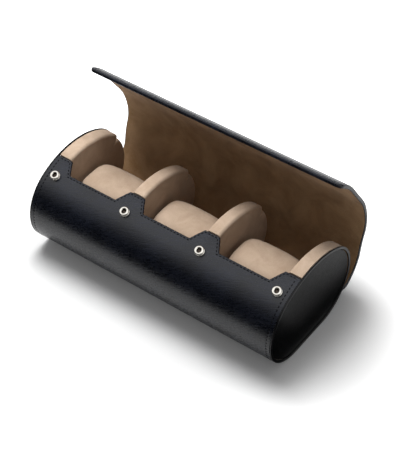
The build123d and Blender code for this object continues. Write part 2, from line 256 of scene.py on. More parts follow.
@dataclass(frozen=True)
class Wall:
    """Sizes of the case wall, its front edge and its ends."""

    length: float = 234.0
    rim_width: float = 1.2
    rim_depth: float = 2.4
    leather: float = 1.3
    board: float = 1.6
    lining: float = 0.7
    tab_top: float = 15.9
    window_edge: float = 27.7
    divider_centre: float = 35.802
    tab_half: float = 7.0
    tab_slope: float = 6.8
    end_tab: float = 22.0
    stud_line: float = 33.5
    end_stud_inset: float = 11.2
    hinge_line: float = -105.42
    seam_line: float = -112.0

    @property
    def half(self) -> float:
        """Half of the whole length."""
        return self.length / 2

    @property
    def wrap_half(self) -> float:
        """Half of the length between the rims."""
        return self.half - self.rim_width

    @property
    def inside(self) -> float:
        """Offset of the lining's face."""
        return -(self.leather + self.board + self.lining)

    @property
    def front_edge(self) -> list[tuple[float, float]]:
        """Corners (x, s) of the tabs and windows, from the left end to the right."""
        near = self.divider_centre - self.tab_half
        far = self.divider_centre + self.tab_half
        edge = self.half - self.end_tab
        right = [
            (near - self.tab_slope, self.window_edge),
            (near, self.tab_top),
            (far, self.tab_top),
            (far + self.tab_slope, self.window_edge),
            (edge, self.window_edge),
            (edge + self.tab_slope, self.tab_top),
            (self.wrap_half, self.tab_top),
        ]
        return [(-x, s) for x, s in reversed(right)] + right

    @property
    def stud_places(self) -> list[float]:
        """X of the four snap studs."""
        end = self.half - self.end_stud_inset
        return [-end, -self.divider_centre, self.divider_centre, end]


WALL = Wall()
WRAP_END = WALL.seam_line + OUTLINE.girth  # s of the seam, the long way round the base


def on_case(x: Array, s: Array, offset: Array) -> Array:
    """Wall coordinates to points of the closed case, which is where its body rests."""
    y, z = OUTLINE.place(s, offset)
    return np.stack([np.broadcast_to(x, y.shape), y, z], -1)


@dataclass(frozen=True)
class Fold:
    """One bend of the lid: the bodies that it joins, its pivot at rest, how far it is
    open at rest, and the stretch of s over which the leather bends."""

    parent: str
    child: str
    pivot: tuple[float, float]
    opened: float
    bend_from: float
    bend_to: float

    def turn_rigid(self, y: Array, z: Array) -> tuple[Array, Array]:
        """Points of the child body, carried from closed to rest."""
        return turned(y, z, self.pivot, -self.opened)

    def turn_blended(self, y: Array, z: Array, ends: Array) -> tuple[Array, Array]:
        """Points of a sheet across the fold, carried to rest by turn x weight. The
        weight is the smoothstep of the rest place between both ends, so it is found
        by repeating the turn until it settles.

        Args:
            y: Y with this fold closed.
            z: Z with this fold closed.
            ends: Both ends of the bend at rest, as rows of y and z.

        Returns:
            Y and Z at rest.
        """
        along = ends[1] - ends[0]
        rest_y, rest_z = y, z
        for _ in range(SETTLING_ROUNDS):
            reach = (rest_y - ends[0, 0]) * along[0] + (rest_z - ends[0, 1]) * along[1]
            weight = smooth(0.0, 1.0, reach / (along @ along))
            rest_y, rest_z = turned(y, z, self.pivot, -self.opened * weight)
        return rest_y, rest_z


def read_fold(joint: str, opened: float, bend_from: float, bend_to: float) -> Fold:
    """Fold at a joint of the frame.

    Args:
        joint: Name of the joint.
        opened: How far it is open at rest, in degrees.
        bend_from: s on the parent's side where the bend starts.
        bend_to: s on the child's side where it ends.

    Returns:
        The fold.
    """
    row = next(j for j in frame["joints"] if j["name"] == joint)
    pivot = (row["pos_m"][1] / METRES, row["pos_m"][2] / METRES)
    return Fold(row["parent"], row["child"], pivot, math.radians(opened), bend_from, bend_to)


@dataclass(frozen=True)
class LidShape:
    """Layers of the lid over the closed case, its free edge and its three folds."""

    inside: float = 0.5
    lined: float = 1.3
    backed: float = 2.6
    outside: float = 3.9
    edge: float = 0.9
    corner: float = 5.5
    free_edge: float = 41.0

    @cached_property
    def folds(self) -> list[Fold]:
        """Hinge at the back, bend behind the crown and flap in front of it."""
        return [
            read_fold("lid_hinge", 24.5, -111.0, -98.0),
            read_fold("lid_bend", 24.3, -75.9, -47.9),
            read_fold("lid_flap", 15.0, -22.4, 25.6),
        ]

    def rigid(self, y: Array, z: Array, folds: int) -> tuple[Array, Array]:
        """Points of the body past that many folds, carried from closed to rest. The
        nearest fold to the case turns first, because the others' pivots are at rest."""
        for fold in self.folds[:folds]:
            y, z = fold.turn_rigid(y, z)
        return y, z

    def bend_ends(self, index: int) -> Array:
        """Both ends of a fold's bend at rest, on the middle of the lid's thickness."""
        fold = self.folds[index]
        middle = (self.inside + self.outside) / 2
        first = self.rigid(*OUTLINE.place(np.array(fold.bend_from), middle), index)
        last = self.rigid(*OUTLINE.place(np.array(fold.bend_to), middle), index + 1)
        return np.array([first, last], float)

    def placing(self, index: int) -> Placing:
        """Function from wall coordinates to rest points of the sheet across a fold."""

        def place(x: Array, s: Array, offset: Array) -> Array:
            y, z = self.rigid(*OUTLINE.place(s, offset), index)
            y, z = self.folds[index].turn_blended(y, z, self.bend_ends(index))
            return np.stack([np.broadcast_to(x, y.shape), y, z], -1)

        return place

    def blend(self, piece: bpy.types.Object, index: int) -> None:
        """Bake a piece's transform into its mesh. The ends of the fold's bend are worked out but
        not used, so the piece is not made to bend with the fold.
        """
        (first_y, first_z), (last_y, last_z) = self.bend_ends(index) * METRES
        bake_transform(piece)


LID = LidShape()


# ---------------------------------------------------------------- meshes


@dataclass
class Surface:
    """Points, faces and wall coordinates of a mesh before it is made."""

    points: Array
    faces: list[Array]
    wall: Array | None = None

    def outward(self) -> "Surface":
        """Same surface with its faces turned outwards, by the sign of its volume."""
        volume = 0.0
        for block in self.faces:
            for last in range(2, block.shape[1]):
                a, b, c = (self.points[block[:, i]] for i in (0, last - 1, last))
                volume += float(np.einsum("ij,ij->", a, np.cross(b, c)))
        if volume < 0:
            self.faces = [block[:, ::-1] for block in self.faces]
        return self


def joined(parts: Sequence[Surface]) -> Surface:
    """Several surfaces as one, with their faces renumbered."""
    faces, start = [], 0
    for part in parts:
        faces += [block + start for block in part.faces]
        start += len(part.points)
    wall = None
    if all(part.wall is not None for part in parts):
        wall = np.concatenate([part.wall for part in parts])
    return Surface(np.concatenate([part.points for part in parts]), faces, wall)


def grid_quads(rows: int, columns: int, start: int = 0, round_trip: bool = False) -> Array:
    """Quads of a grid of vertices numbered row by row.

    Args:
        rows: Number of rows.
        columns: Number of vertices in a row.
        start: Number of the first vertex.
        round_trip: Whether the last column joins the first.

    Returns:
        One quad to a row.
    """
    row, column = np.meshgrid(
        np.arange(rows - 1), np.arange(columns if round_trip else columns - 1), indexing="ij"
    )
    beside = (column + 1) % columns
    first = row * columns
    corners = [first + column, first + beside, first + columns + beside, first + columns + column]
    return np.stack(corners, -1).reshape(-1, 4) + start


def shell(x: Array, s: Array, outer: Array, inner: Array, place: Placing) -> Surface:
    """Closed sheet between two offset fields over one grid of wall coordinates.

    Args:
        x: Grid of x.
        s: Grid of s.
        outer: Offset of the outer face at each grid point.
        inner: Offset of the inner face.
        place: Function from wall coordinates to points.

    Returns:
        The closed surface: both faces and the strip round their edge.
    """
    rows, columns = x.shape
    count = rows * columns
    points = np.concatenate([place(x, s, outer).reshape(-1, 3), place(x, s, inner).reshape(-1, 3)])
    index = np.arange(count).reshape(rows, columns)
    loop = np.concatenate([index[0], index[1:, -1], index[-1, -2::-1], index[-2:0:-1, 0]])
    after = np.roll(loop, -1)
    strip = np.stack([loop, loop + count, after + count, after], -1)
    top = grid_quads(rows, columns)
    bottom = grid_quads(rows, columns, count)[:, ::-1]
    wall = np.stack([x.reshape(-1), s.reshape(-1)], -1)
    return Surface(points, [top, bottom, strip], np.concatenate([wall, wall])).outward()


def ringed(rings: Array) -> Surface:
    """Closed body of rings, one after another, with a pole in the middle of each end.

    Args:
        rings: Points as ring, place round the ring and xyz.

    Returns:
        The closed surface.
    """
    count, around, _ = rings.shape
    poles = np.stack([rings[0].mean(0), rings[-1].mean(0)])
    points = np.concatenate([rings.reshape(-1, 3), poles])
    here = np.arange(around)
    beside = (here + 1) % around
    pole = np.full(around, count * around)
    start = (count - 1) * around
    first = np.stack([pole, beside, here], -1)
    last = np.stack([pole + 1, start + here, start + beside], -1)
    quads = grid_quads(count, around, round_trip=True)
    return Surface(points, [quads, first, last]).outward()


def hoop(rings: Array) -> Surface:
    """Closed tube of rings whose last ring joins the first."""
    count, around, _ = rings.shape
    quads = grid_quads(count + 1, around, round_trip=True) % (count * around)
    return Surface(rings.reshape(-1, 3), [quads]).outward()


def scaled_rings(s: Array, rows: Sequence[tuple[float, Array, float]], middle_z: float) -> Array:
    """Rings of the outline, each scaled about a point of the section's middle line.

    Args:
        s: Places round the outline.
        rows: X, offset (one for all places or one each) and scale of each ring.
        middle_z: Z of that point.

    Returns:
        Points as ring, place and xyz.
    """
    points = []
    for x, offset, share in rows:
        y, z = OUTLINE.place(s, np.broadcast_to(offset, s.shape))
        z = middle_z + (z - middle_z) * share
        points.append(np.stack([np.full(s.shape, x), y * share, z], -1))
    return np.array(points)


def squared_circle(angle: Array, power: float) -> tuple[Array, Array]:
    """Cosine and sine to a power below 1 with their signs kept, a circle squared off."""
    cosine, sine = np.cos(angle), np.sin(angle)
    return np.sign(cosine) * np.abs(cosine) ** power, np.sign(sine) * np.abs(sine) ** power


def bump_waves(x: Array, s: Array, height: float) -> Array:
    """Slow unevenness of hand-laid leather: a sum of sines of x and s.

    Args:
        x: Grid of x.
        s: Grid of s.
        height: Height of the waves.

    Returns:
        Offset to add.
    """
    first = np.sin(x / 17.0 + 1.3 * np.sin(s / 23.0))
    second = np.sin(s / 9.0 + 0.8 * np.sin(x / 31.0))
    third = np.sin((x + s) / 7.0) * 0.4
    return height * (first + second + third) / 2.4


def turned_body(profile: Sequence[tuple[float, float]], sides: int) -> Array:
    """Rings of a body turned about local Z.

    Args:
        profile: Radius and height of each ring.
        sides: Points round each ring.

    Returns:
        Points as ring, place and xyz.
    """
    angle = np.linspace(0.0, FULL_TURN, sides, endpoint=False)
    radius, height = np.array(profile, float).T
    x = radius[:, None] * np.cos(angle)
    y = radius[:, None] * np.sin(angle)
    return np.stack([x, y, np.broadcast_to(height[:, None], x.shape)], -1)


def arc_points(
    centre: tuple[float, float], radius: float, low: float, high: float, steps: int
) -> list[tuple[float, float]]:
    """Points of an arc of a profile, angles in degrees."""
    angles = np.radians(np.linspace(low, high, steps))
    return [(centre[0] + radius * math.cos(a), centre[1] + radius * math.sin(a)) for a in angles]


# ---------------------------------------------------------------- finishes


class Coordinates(Enum):
    """What a pattern follows: wall coordinates in a UV map, or the rigid object."""

    WALL = "wall"
    OBJECT = "object"


class Nodes:
    """Short way to build the node tree of a material or a world."""

    def __init__(self, owner: bpy.types.Material | bpy.types.World) -> None:
        """Empty the owner's tree."""
        owner.use_nodes = True
        self.owner = owner
        self.tree = owner.node_tree
        self.tree.nodes.clear()

    def add(self, kind: str, settings: dict | None = None, **inputs: object) -> bpy.types.Node:
        """Add a node, set its properties, and set or link its inputs.

        Args:
            kind: Node type after ShaderNode.
            settings: Properties of the node.
            **inputs: Input sockets by name with underscores, or i0, i1 by number. A
                value is a number or colour, or an output socket to link.

        Returns:
            The node.
        """
        node = self.tree.nodes.new("ShaderNode" + kind)
        for key, value in (settings or {}).items():
            setattr(node, key, value)
        for key, value in inputs.items():
            by_number = key[0] == "i" and key[1:].isdigit()
            socket = node.inputs[int(key[1:]) if by_number else key.replace("_", " ")]
            if isinstance(value, bpy.types.NodeSocket):
                self.tree.links.new(value, socket)
            else:
                socket.default_value = value
        return node

    def millimetres(
        self, follows: Coordinates, stretch: tuple[float, float, float], turn: float = 0.0
    ) -> object:
        """Vector in millimetres, turned about its third axis and then stretched.

        Args:
            follows: Wall or object coordinates.
            stretch: Factor on each axis.
            turn: Angle in degrees.

        Returns:
            Output socket of the vector.
        """
        source = self.add("TexCoord")
        wall = follows is Coordinates.WALL
        unit = UV_UNIT if wall else 1.0 / METRES
        scale = tuple(unit * factor for factor in stretch)
        vector = source.outputs["UV" if wall else "Object"]
        if turn:
            rotation = (0.0, 0.0, math.radians(turn))
            vector = self.add("Mapping", Vector=vector, Rotation=rotation).outputs[0]
        return self.add("Mapping", Vector=vector, Scale=scale).outputs[0]

    def noise(
        self, vector: object, scale: float, detail: float, rough: float, twist: float = 0.0
    ) -> object:
        """Factor of a noise texture, scale in waves to a millimetre."""
        node = self.add(
            "TexNoise", Vector=vector, Scale=scale, Detail=detail, Roughness=rough, Distortion=twist
        )
        return node.outputs["Fac"]

    def ramp(
        self,
        factor: object,
        low: float,
        high: float,
        to_low: float = 0.0,
        to_high: float = 1.0,
        curve: str = "LINEAR",
    ) -> object:
        """Factor carried from one range to another."""
        limits = {"From_Min": low, "From_Max": high, "To_Min": to_low, "To_Max": to_high}
        node = self.add("MapRange", {"interpolation_type": curve}, Value=factor, **limits)
        return node.outputs[0]

    def mix(self, factor: object, first: object, second: object) -> object:
        """Colour between two colours."""
        node = self.add("Mix", {"data_type": "RGBA"}, i0=factor, i6=first, i7=second)
        return node.outputs[2]

    def bump(self, height: object, depth: float, below: object | None = None) -> object:
        """Normal of a height field whose depth is in millimetres."""
        inputs = {"Height": height, "Distance": depth * METRES, "Strength": 1.0}
        if below is not None:
            inputs["Normal"] = below
        return self.add("Bump", **inputs).outputs[0]

    def finish(self, **inputs: object) -> bpy.types.Material:
        """Close the tree with a Principled shader and give the material."""
        shader = self.add("BsdfPrincipled", **inputs)
        self.add("OutputMaterial", Surface=shader.outputs[0])
        return self.owner


@dataclass(frozen=True)
class Leather:
    """Grained leather: streaks that run along the hide, fine pores and a soft gloss.
    Streak, pore and cloud are in waves to a millimetre, and depths in millimetres."""

    name: str
    dark: Colour
    light: Colour
    follows: Coordinates
    streak: tuple[float, float, float] = (0.13, 0.85, 0.85)
    streak_depth: float = 0.12
    pore: float = 2.6
    pore_depth: float = 0.03
    cloud: float = 0.035
    tones: tuple[float, float] = (0.15, 0.4)
    roughness: tuple[float, float] = (0.22, 0.34)
    specular: float = 0.5
    turn: float = 25.0

    def build(self) -> bpy.types.Material:
        """Make the material."""
        n = Nodes(bpy.data.materials.new(self.name))
        along = n.millimetres(self.follows, self.streak, self.turn)
        even = n.millimetres(self.follows, EVEN)
        streaks = n.noise(along, 1.0, 5.0, 0.62, 0.9)
        pores = n.noise(even, self.pore, 3.0, 0.6)
        clouds = n.noise(even, self.cloud, 3.0, 0.5)
        tone = n.add("Math", {"operation": "MULTIPLY"}, i0=streaks, i1=clouds).outputs[0]
        colour = n.mix(n.ramp(tone, *self.tones), self.dark, self.light)
        gloss = n.ramp(streaks, 0.3, 0.7, *self.roughness)
        low = n.bump(streaks, self.streak_depth)
        normal = n.bump(pores, self.pore_depth, low)
        return n.finish(
            Base_Color=colour, Roughness=gloss, Specular_IOR_Level=self.specular, Normal=normal
        )


@dataclass(frozen=True)
class Suede:
    """Napped microsuede: cloudy brushed patches, a short fibre grain and a sheen."""

    name: str
    dark: Colour
    light: Colour
    follows: Coordinates
    cloud: float = 0.04
    fibre: float = 1.6
    fibre_share: float = 0.6
    tones: tuple[float, float] = (0.58, 1.02)
    nap_depth: float = 0.07
    sheen: float = 0.2

    def build(self) -> bpy.types.Material:
        """Make the material."""
        n = Nodes(bpy.data.materials.new(self.name))
        even = n.millimetres(self.follows, EVEN)
        clouds = n.noise(even, self.cloud, 4.0, 0.6, 0.6)
        fibres = n.noise(even, self.fibre, 4.0, 0.75, 0.4)
        add_share = {"operation": "MULTIPLY_ADD"}
        summed = n.add("Math", add_share, i0=fibres, i1=self.fibre_share, i2=clouds)
        colour = n.mix(n.ramp(summed.outputs[0], *self.tones), self.dark, self.light)
        normal = n.bump(fibres, self.nap_depth)
        return n.finish(
            Base_Color=colour,
            Roughness=0.95,
            Specular_IOR_Level=0.12,
            Sheen_Weight=self.sheen,
            Sheen_Roughness=0.45,
            Normal=normal,
        )


@dataclass(frozen=True)
class Metal:
    """Polished nickel with faint rubbing marks."""

    name: str
    colour: Colour
    roughness: tuple[float, float] = (0.07, 0.2)

    def build(self) -> bpy.types.Material:
        """Make the material."""
        n = Nodes(bpy.data.materials.new(self.name))
        even = n.millimetres(Coordinates.OBJECT, EVEN)
        marks = n.noise(even, 1.4, 3.0, 0.6)
        return n.finish(
            Base_Color=self.colour,
            Metallic=1.0,
            Roughness=n.ramp(marks, 0.35, 0.65, *self.roughness),
            Normal=n.bump(marks, 0.01),
        )


@dataclass(frozen=True)
class Thread:
    """Waxed sewing thread."""

    name: str
    colour: Colour
    follows: Coordinates

    def build(self) -> bpy.types.Material:
        """Make the material."""
        n = Nodes(bpy.data.materials.new(self.name))
        even = n.millimetres(self.follows, EVEN)
        twist = n.noise(even, 3.5, 2.0, 0.5)
        darker = tuple(channel * 0.5 for channel in self.colour[:3]) + (1.0,)
        shade = n.mix(twist, darker, self.colour)
        return n.finish(
            Base_Color=shade, Roughness=0.7, Specular_IOR_Level=0.1, Normal=n.bump(twist, 0.05)
        )


@dataclass(frozen=True)
class Filler:
    """Board or foam: a dry, speckled core material."""

    name: str
    dark: Colour
    light: Colour
    grain: float

    def build(self) -> bpy.types.Material:
        """Make the material."""
        n = Nodes(bpy.data.materials.new(self.name))
        even = n.millimetres(Coordinates.OBJECT, EVEN)
        speckle = n.noise(even, self.grain, 4.0, 0.7)
        colour = n.mix(n.ramp(speckle, 0.35, 0.65), self.dark, self.light)
        return n.finish(Base_Color=colour, Roughness=0.92, Normal=n.bump(speckle, 0.08))


class Finishes:
    """All finishes of the case, made once."""

    def __init__(self) -> None:
        """Make every material; each pair of colours is the darkest and the palest."""
        wall, rigid = Coordinates.WALL, Coordinates.OBJECT
        navy = (0.002, 0.0026, 0.0052, 1.0), (0.007, 0.009, 0.017, 1.0)
        black = (0.0015, 0.0015, 0.0018, 1.0), (0.004, 0.0043, 0.005, 1.0)
        tan = (0.26, 0.15, 0.072, 1.0), (0.45, 0.285, 0.155, 1.0)
        beige = (0.44, 0.325, 0.235, 1.0), (0.57, 0.44, 0.335, 1.0)
        rim = {"streak": (0.5, 0.5, 0.5), "streak_depth": 0.05, "roughness": (0.28, 0.4)}
        panel = {"streak": (0.4, 0.4, 0.4), "streak_depth": 0.04, "roughness": (0.3, 0.42)}
        self.wrap = Leather("wrap_leather", *navy, wall).build()
        self.rim = Leather("rim_leather", *black, rigid, specular=0.3, **rim).build()
        self.panel = Leather("panel_leather", *black, rigid, specular=0.12, **panel).build()
        self.lining = Suede("lining_suede", *tan, wall, sheen=0.1).build()
        self.pad = Suede("pad_suede", *beige, rigid, cloud=0.07).build()
        self.metal = Metal("snap_metal", (0.78, 0.75, 0.69, 1.0)).build()
        # the bore's dark colour is painted shade: it stands in for the shade deep in the hollow of
        # each stud
        self.bore = Metal("snap_bore_painted_shade", (0.07, 0.055, 0.045, 1.0), (0.3, 0.5)).build()
        self.wall_thread = Thread("wall_thread", (0.002, 0.002, 0.003, 1.0), wall).build()
        self.board = Filler("board", (0.2, 0.18, 0.15, 1.0), (0.33, 0.3, 0.26, 1.0), 1.2).build()
        self.foam = Filler("foam", (0.6, 0.57, 0.5, 1.0), (0.78, 0.76, 0.7, 1.0), 2.0).build()


def linked(name: str, data: bpy.types.ID) -> bpy.types.Object:
    """Object of a mesh, lamp or camera, put into the scene."""
    item = bpy.data.objects.new(name, data)
    bpy.context.scene.collection.objects.link(item)
    return item


def raw_mesh(name: str, surface: Surface) -> bpy.types.Mesh:
    """Mesh of a surface, in metres."""
    mesh = bpy.data.meshes.new(name)
    faces = [face for block in surface.faces for face in block.tolist()]
    mesh.from_pydata((surface.points * METRES).tolist(), [], faces)
    return mesh


def make_piece(
    name: str, surface: Surface, finish: bpy.types.Material, sharp: float = SHARP_ANGLE
) -> bpy.types.Object:
    """Mesh object of a surface, in metres at the origin, with its finish and UV map.

    Args:
        name: Name of the piece.
        surface: Its points, in millimetres, and faces.
        finish: Its material.
        sharp: Angle past which an edge is shaded sharp.

    Returns:
        The object.
    """
    mesh = raw_mesh(name, surface)
    if surface.wall is not None:
        corners = np.empty(len(mesh.loops), np.int32)
        mesh.loops.foreach_get("vertex_index", corners)
        places = (surface.wall[corners] / UV_UNIT).astype(np.float32)
        mesh.uv_layers.new(name="wall").data.foreach_set("uv", places.ravel())
    mesh.polygons.foreach_set("use_smooth", np.ones(len(mesh.polygons), bool))
    mesh.set_sharp_from_angle(angle=sharp)
    mesh.materials.append(finish)
    mesh.validate()
    piece = linked(name, mesh)
    LOG.info("%s: %d vertices, %d faces", name, len(mesh.vertices), len(mesh.polygons))
    return piece


def cut(piece: bpy.types.Object, cutter: Surface) -> None:
    """Cut closed shapes out of a piece.

    Args:
        piece: The piece, changed in place.
        cutter: Closed surface of what is taken away, in millimetres.
    """
    mesh = raw_mesh("cutter", cutter)
    shape = bmesh.new()
    shape.from_mesh(mesh)
    bmesh.ops.recalc_face_normals(shape, faces=shape.faces)
    shape.to_mesh(mesh)
    shape.free()
    tool = linked("cutter", mesh)
    change = piece.modifiers.new("cut", "BOOLEAN")
    change.operation, change.solver, change.object = "DIFFERENCE", "EXACT", tool
    result = piece.evaluated_get(bpy.context.evaluated_depsgraph_get())
    piece.data = bpy.data.meshes.new_from_object(result)
    piece.data.set_sharp_from_angle(angle=SHARP_ANGLE)
    piece.modifiers.clear()
    bpy.data.objects.remove(tool)


# ---------------------------------------------------------------- sewing


@dataclass(frozen=True)
class Stitching:
    """Rows of stitches along lines of wall coordinates, sunk in their groove."""

    pitch: float = 3.1
    length: float = 2.0
    width: float = 1.2
    height: float = 0.34
    sink: float = 0.12
    sides: int = 6
    stations: tuple[float, ...] = (-1.0, -0.75, 0.0, 0.75, 1.0)

    def along(self, corners: Sequence[tuple[float, float]], top: float, place: Placing) -> Surface:
        """Stitches along a polyline: each is an ellipse in section, drawn in at both
        ends by sqrt(1 - 0.85 a^2), where a runs from -1 to 1 along it.

        Args:
            corners: Corners (x, s) of the line.
            top: Offset of the leather's face.
            place: Function from wall coordinates to points.

        Returns:
            All stitches as one surface.
        """
        line = np.array(corners, float)
        runs = np.hypot(*(line[1:] - line[:-1]).T)
        total = runs.sum()
        count = max(int(total / self.pitch), 1)
        middle = (np.arange(count) + 0.5) * total / count
        reached = np.concatenate([[0.0], np.cumsum(runs)])
        index = np.clip(np.searchsorted(reached, middle, "right") - 1, 0, len(runs) - 1)
        direction = (line[1:] - line[:-1])[index] / runs[index, None]
        centre = line[index] + direction * (middle - reached[index])[:, None]
        across = np.stack([-direction[:, 1], direction[:, 0]], -1)
        a = np.array(self.stations)
        drawn = np.sqrt(1.0 - 0.85 * a**2)
        angle = np.linspace(0.0, FULL_TURN, self.sides, endpoint=False)
        aside = self.width / 2 * drawn[:, None] * np.cos(angle)
        lift = self.height * drawn[:, None] * np.sin(angle) - self.sink
        run = np.broadcast_to(a[:, None] * self.length / 2, aside.shape)
        flat = (
            centre[:, None, None, :]
            + direction[:, None, None, :] * run[None, :, :, None]
            + across[:, None, None, :] * aside[None, :, :, None]
        )
        offset = np.broadcast_to(top + lift, flat.shape[:3])
        points = place(flat[..., 0], flat[..., 1], offset)
        parts = []
        for stitch, wall in zip(points, flat):
            part = ringed(stitch)
            poles = np.stack([wall[0].mean(0), wall[-1].mean(0)])
            part.wall = np.concatenate([wall.reshape(-1, 2), poles])
            parts.append(part)
        return joined(parts)


STITCHES = Stitching()


def edge_steps(radius: float, line: float) -> list[float]:
    """Distances from an edge at which a grid needs a line: round the nose, then through
    the stitch groove, and on to where the plain grid starts."""
    round_nose = [radius * (1.0 - math.cos(math.radians(a))) for a in range(0, 91, 18)]
    through = [line + GROOVE_WIDTH * k for k in (-1.8, -1.2, -0.6, 0.0, 0.6, 1.2, 1.8)]
    return round_nose + [d for d in through if d > radius + 0.05] + [line + PAST_GROOVE]


def mitres(corners: Array) -> Array:
    """Step in from each corner of a line for a parallel line one unit away: the sum of
    the normals on both sides of the corner, over its share along the first of them.
    Both ends run on along x.

    Args:
        corners: Corners (x, s) of the line.

    Returns:
        One step to a corner.
    """
    normals = []
    for run in (
        np.diff(corners, axis=0, prepend=corners[:1] - (1.0, 0.0)),
        np.diff(corners, axis=0, append=corners[-1:] + (1.0, 0.0)),
    ):
        unit = run / np.hypot(*run.T)[:, None]
        normals.append(np.stack([-unit[:, 1], unit[:, 0]], -1))
    mitre = normals[0] + normals[1]
    return mitre / np.einsum("ij,ij->i", mitre, normals[0])[:, None]


# ---------------------------------------------------------------- the case


@dataclass
class CaseWrap:
    """Leather, lining and sewing of the case wall, from the tabs round to the hinge."""

    finishes: Finishes
    nose_radius: float = 1.2
    end_radius: float = 0.6
    turned_edge: float = 1.2
    cell: float = 1.3
    plain_from: float = 42.0
    waves: float = 0.06
    calm_seam: float = 20.0
    below_corner: float = 1.5
    merging_rows: int = 8
    plain_rows: int = 63

    def columns(self, corners: Array, insets: Sequence[float]) -> tuple[Array, Array]:
        """Places of the grid columns between the corners of the front edge.

        Args:
            corners: Corners of the edge.
            insets: Distances from each end of the roll that need a column.

        Returns:
            The segment of each column and its share along that segment.
        """
        segment, share = [], []
        for i in range(len(corners) - 1):
            length = float(np.hypot(*(corners[i + 1] - corners[i])))
            if i == 0:
                runs = list(insets) + [length * 0.75]
                places = [run / length for run in runs]
            elif i == len(corners) - 2:
                places = [0.0, 0.25] + [1.0 - inset / length for inset in reversed(insets)]
            else:
                count = max(int(length / self.cell), 2)
                places = list(np.arange(count) / count)
            segment += [i] * len(places)
            share += places
        return np.array(segment), np.array(share)

    def grid(
        self, setback: float, edge: Sequence[float], insets: Sequence[float]
    ) -> tuple[Array, Array, Array]:
        """Grid of wall coordinates that follows the tabs at the top and is plain below.

        Args:
            setback: How far the whole piece is drawn in from the front edge.
            edge: Distances in from the front edge, for the rows that follow it.
            insets: Distances in from each end, for the columns.

        Returns:
            Grids of x, s and distance from the front edge.
        """
        corners = np.array(WALL.front_edge)
        segment, share = self.columns(corners, insets)
        mitre = mitres(corners)
        rows_x, rows_s, depth = [], [], []
        for inset in edge:
            moved = corners + mitre * (inset + setback)
            line = moved[segment] + (moved[segment + 1] - moved[segment]) * share[:, None]
            rows_x.append(line[:, 0])
            rows_s.append(line[:, 1])
            depth.append(np.full(len(line), inset))
        last_x, last_s = rows_x[-1], rows_s[-1]
        plain_x = corners[segment, 0] + (corners[segment + 1, 0] - corners[segment, 0]) * share
        for step in np.linspace(0.0, 1.0, self.merging_rows + 1)[1:]:
            rows_x.append(last_x + (plain_x - last_x) * step)
            rows_s.append(last_s + (self.plain_from - last_s) * step)
            depth.append(np.full(len(last_x), edge[-1] + self.plain_from * step))
        for s in np.linspace(self.plain_from, WRAP_END, self.plain_rows + 1)[1:]:
            rows_x.append(plain_x)
            rows_s.append(np.full(len(plain_x), s))
            depth.append(np.full(len(plain_x), 2 * self.plain_from))
        return np.array(rows_x), np.array(rows_s), np.array(depth)

    def leather(self) -> bpy.types.Object:
        """Leather of the wall: a rounded, turned front edge and pressed stitch lines."""
        edge = edge_steps(self.nose_radius, STITCH_INSET) + [self.turned_edge + 0.04]
        insets = edge_steps(self.end_radius, END_STITCH_INSET)
        x, s, depth = self.grid(0.0, sorted(edge), insets)
        end_depth = WALL.wrap_half - np.abs(x)
        calm = smooth(0.0, CALM_EDGE, np.minimum(depth, end_depth))
        waves = bump_waves(x, s, self.waves) * calm - self.waves
        outer = np.minimum(waves * smooth(0.0, self.calm_seam, WRAP_END - s), 0.0)
        outer -= np.maximum(nose(depth, self.nose_radius), nose(end_depth, self.end_radius))
        along_edge = groove(depth, STITCH_INSET, GROOVE_WIDTH)
        along_end = groove(end_depth, END_STITCH_INSET, GROOVE_WIDTH)
        outer -= GROOVE_DEPTH * np.maximum(along_edge, along_end)
        over_board = depth <= self.turned_edge + 0.01
        under = np.where(over_board, -(WALL.leather + WALL.board), -WALL.leather)
        inner = under + np.where(depth <= self.turned_edge, nose(depth, self.nose_radius), 0.0)
        surface = shell(x, s, outer, inner, on_case)
        piece = make_piece("case_wrap_leather", surface, self.finishes.wrap)
        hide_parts("case_leather")
        return piece

    def lining(self) -> bpy.types.Object:
        """Suede glued inside the wall, with a soft edge below the tabs."""
        edge = [0.0, 0.1, 0.3, 0.6, 1.2, 2.5]
        x, s, depth = self.grid(self.turned_edge - 0.1, edge, [0.0, 0.5, 2.0, 6.0])
        outer = np.full(x.shape, -(WALL.leather + WALL.board))
        surface = shell(x, s, outer, WALL.inside + nose(depth, 0.6), on_case)
        piece = make_piece("case_suede_lining", surface, self.finishes.lining)
        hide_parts("case_lining")
        return piece

    def sewing(self) -> bpy.types.Object:
        """Stitches along the tabs and windows and down both ends."""
        corners = np.array(WALL.front_edge)
        line = corners + mitres(corners) * STITCH_INSET
        end_x = WALL.wrap_half - END_STITCH_INSET
        line[0, 0], line[-1, 0] = -end_x, end_x
        first = WALL.tab_top + STITCH_INSET + self.below_corner
        lines = [line.tolist()] + [[(x, first), (x, WRAP_END)] for x in (-end_x, end_x)]
        rows = [STITCHES.along(run, -GROOVE_DEPTH, on_case) for run in lines]
        return make_piece("case_stitching", joined(rows), self.finishes.wall_thread)

    def build(self) -> list[bpy.types.Object]:
        """Make all pieces of the wall; they ride on the case."""
        pieces = [self.leather(), self.lining(), self.sewing()]
        return [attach(piece, "case") for piece in pieces]


